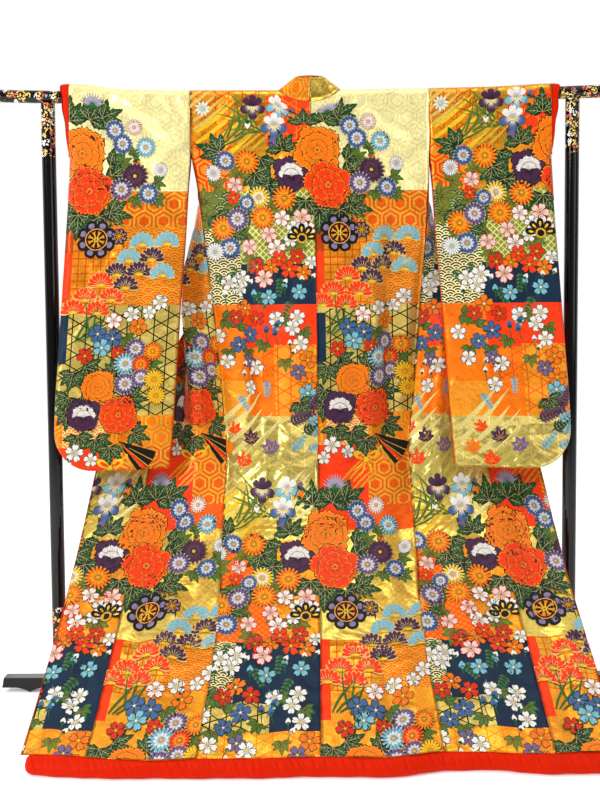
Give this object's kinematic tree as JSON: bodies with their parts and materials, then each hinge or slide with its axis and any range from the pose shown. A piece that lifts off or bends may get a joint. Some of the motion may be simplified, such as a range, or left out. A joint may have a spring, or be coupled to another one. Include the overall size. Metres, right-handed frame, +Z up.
{
  "type": "uchikake kimono on iko stand",
  "caption": "Long trailing wedding over-kimono in woven gold and vermilion brocade with a padded hem, spread by its sleeves on a black lacquer rail stand.",
  "frame": {"origin": "on the floor, at the middle of the part's underside", "axes": "+Z up, +X along the bar to the right seen from the garment's back, which faces -Y"},
  "size_m": [1.8008, 0.9446, 1.652],
  "materials": {
    "brocade_silk": "woven silk brocade, metallic sheen",
    "vermilion_habutae": "soft satin silk lining",
    "black_lacquer": "high-gloss black lacquer with sprinkled metal flowers",
    "pin_steel": "satin"
  },
  "bodies": {
    "root": {"back_left": "brocade_silk", "front_left": "brocade_silk", "okumi_left": "brocade_silk", "collar_left": "brocade_silk", "sleeve_left": "brocade_silk", "cuff_lining_left": "vermilion_habutae", "back_right": "brocade_silk", "front_right": "brocade_silk", "okumi_right": "brocade_silk", "collar_right": "brocade_silk", "sleeve_right": "brocade_silk", "cuff_lining_right": "vermilion_habutae", "fuki_hem_roll": "vermilion_habutae", "bar": "black_lacquer", "base_rail": "black_lacquer", "post_left": "black_lacquer", "foot_left": "black_lacquer", "pin_left": "pin_steel", "post_right": "black_lacquer", "foot_right": "black_lacquer", "pin_right": "pin_steel"}
  },
  "joints": []
}
